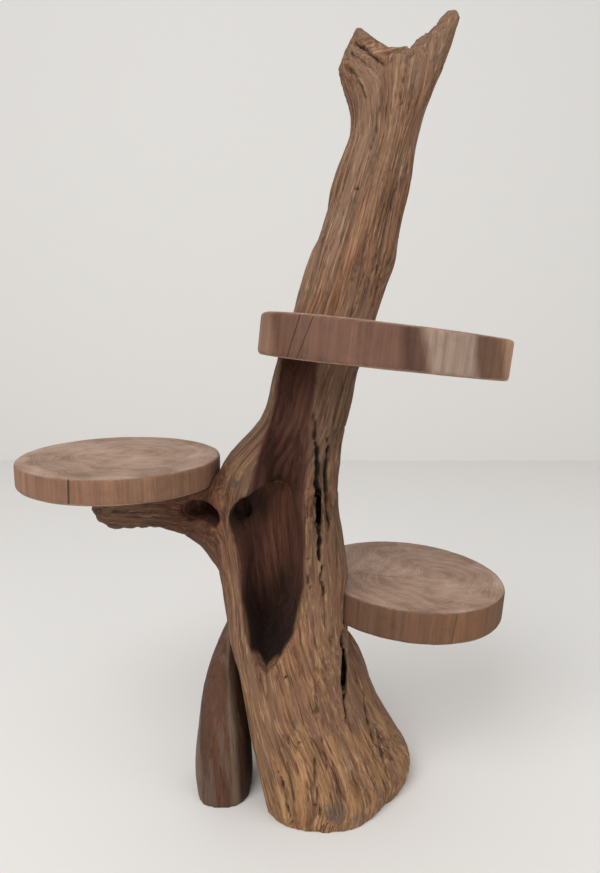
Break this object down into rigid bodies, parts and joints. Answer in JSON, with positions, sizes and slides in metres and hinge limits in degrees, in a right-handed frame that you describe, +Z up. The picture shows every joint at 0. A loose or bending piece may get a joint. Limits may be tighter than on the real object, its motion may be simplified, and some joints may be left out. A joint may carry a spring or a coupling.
{
  "type": "tiered display stand",
  "caption": "Eroded upright root with a side branch and a broken fork that carries thick sawn wood slices at stepped heights, steadied by a short sawn prop leg.",
  "frame": {"origin": "on the floor, under the middle of the root's sawn foot", "axes": "+Z up along the stand, +X to the right as seen from the front, +Y to the back"},
  "size_m": [0.4115, 0.2163, 0.624],
  "materials": {
    "root_wood": "weathered bare wood, fibrous and cracked",
    "leg_wood": "sawn and smoothed, bare",
    "slice_wood": "cross-cut, sanded, bare",
    "screw_steel": "plain zinc"
  },
  "bodies": {
    "root": {"trunk": "root_wood", "prop_leg": "leg_wood", "left_shelf": "slice_wood", "top_shelf": "slice_wood", "right_shelf": "slice_wood", "left_shelf_screws": "screw_steel", "top_shelf_screws": "screw_steel", "right_shelf_screws": "screw_steel", "leg_screws": "screw_steel"}
  },
  "joints": []
}
